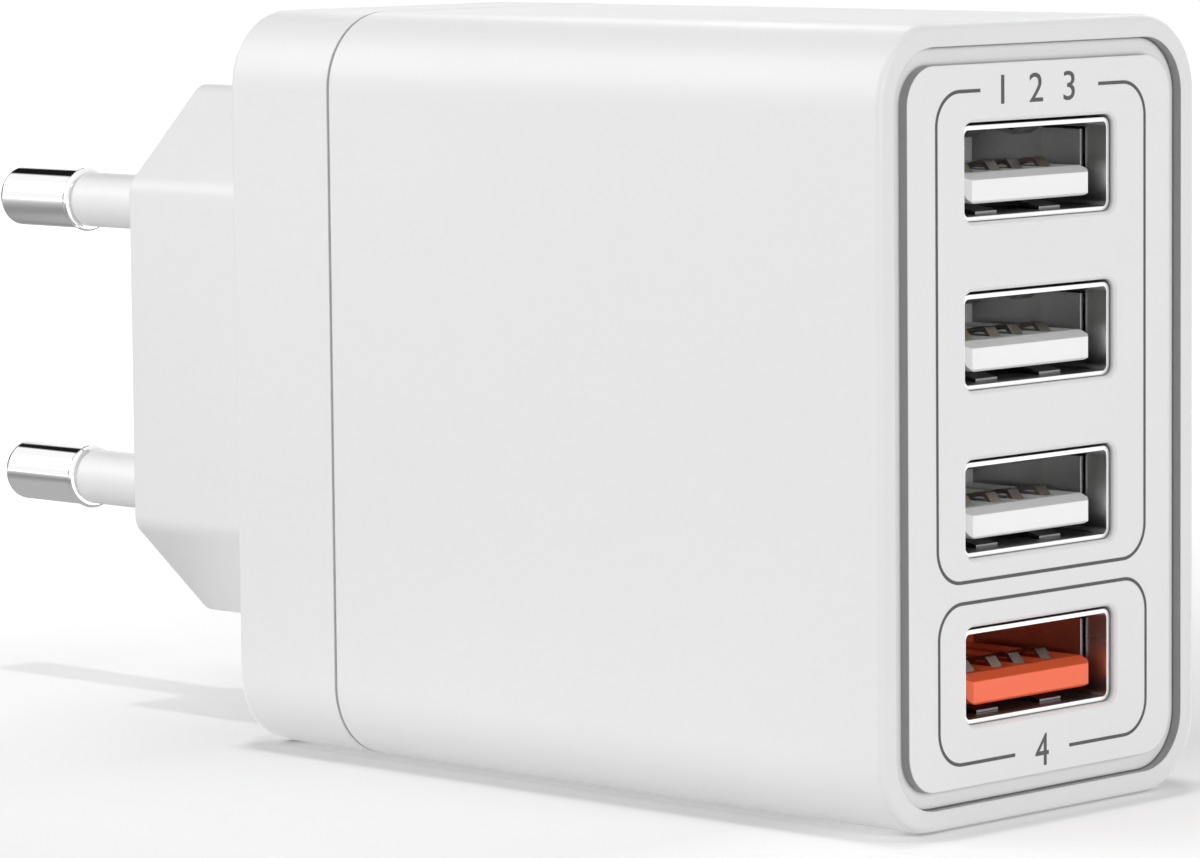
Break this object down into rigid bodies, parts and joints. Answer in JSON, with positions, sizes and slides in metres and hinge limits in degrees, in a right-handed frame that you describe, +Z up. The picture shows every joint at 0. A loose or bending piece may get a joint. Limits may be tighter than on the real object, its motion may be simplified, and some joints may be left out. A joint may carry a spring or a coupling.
{
  "type": "wall charger",
  "caption": "Upright white wall charger with a two-pin round-pin plug at the back and stacked USB-A sockets in a rimmed front panel.",
  "frame": {"origin": "middle of the plug's contact face, halfway between the two pins", "axes": "+X from the wall out to the sockets, +Y to the right when facing the sockets, +Z up"},
  "size_m": [0.0918, 0.0284, 0.0465],
  "materials": {
    "casing": "white moulded plastic, semi-gloss",
    "panel": "white moulded plastic, semi-gloss, with grey print",
    "sleeve": "white plastic sleeve",
    "nickel": "bright nickel plate on brass",
    "shell_steel": "bright tin-plated folded sheet",
    "tongue_white": "white moulded insulator",
    "tongue_orange": "orange moulded insulator",
    "contact_gold": "gold-plated spring contacts",
    "brass_strip": "folded brass strip",
    "circuit_board": "green lacquered board",
    "ferrite": "grey sintered ferrite",
    "black_moulding": "black moulded plastic",
    "white_moulding": "white moulded plastic",
    "winding_tape": "yellow polyester tape over the winding",
    "copper_wire": "lacquered copper wire",
    "capacitor_sleeve": "dark shrink sleeve on an aluminium can",
    "capacitor_can": "bare aluminium can",
    "fuse_brown": "brown moulded case",
    "filter_yellow": "yellow moulded case",
    "disc_blue": "blue dipped ceramic disc"
  },
  "bodies": {
    "root": {"rear_cover": "casing", "main_housing": "casing", "front_panel": "panel", "pin_live": "nickel", "pin_neutral": "nickel", "sleeve_live": "sleeve", "sleeve_neutral": "sleeve", "contact_live": "brass_strip", "contact_neutral": "brass_strip", "main_board": "circuit_board", "port_board": "circuit_board", "usb_shell_1": "shell_steel", "usb_shell_2": "shell_steel", "usb_shell_3": "shell_steel", "usb_shell_4": "shell_steel", "usb_tongue_1": "tongue_white", "usb_tongue_2": "tongue_white", "usb_tongue_3": "tongue_white", "usb_tongue_4": "tongue_orange", "usb_contacts_1": "contact_gold", "usb_contacts_2": "contact_gold", "usb_contacts_3": "contact_gold", "usb_contacts_4": "contact_gold", "transformer_core": "ferrite", "transformer_bobbin": "black_moulding", "transformer_winding": "winding_tape", "input_capacitor_1": "capacitor_sleeve", "input_capacitor_2": "capacitor_sleeve", "output_capacitor_1": "capacitor_can", "output_capacitor_2": "capacitor_can", "fuse": "fuse_brown", "filter_capacitor": "filter_yellow", "choke_core": "ferrite", "choke_winding": "copper_wire", "bridge_rectifier": "black_moulding", "safety_capacitor": "disc_blue", "optocoupler": "white_moulding", "power_controller": "black_moulding", "output_rectifier": "black_moulding", "port_controllers": "black_moulding"}
  },
  "joints": []
}
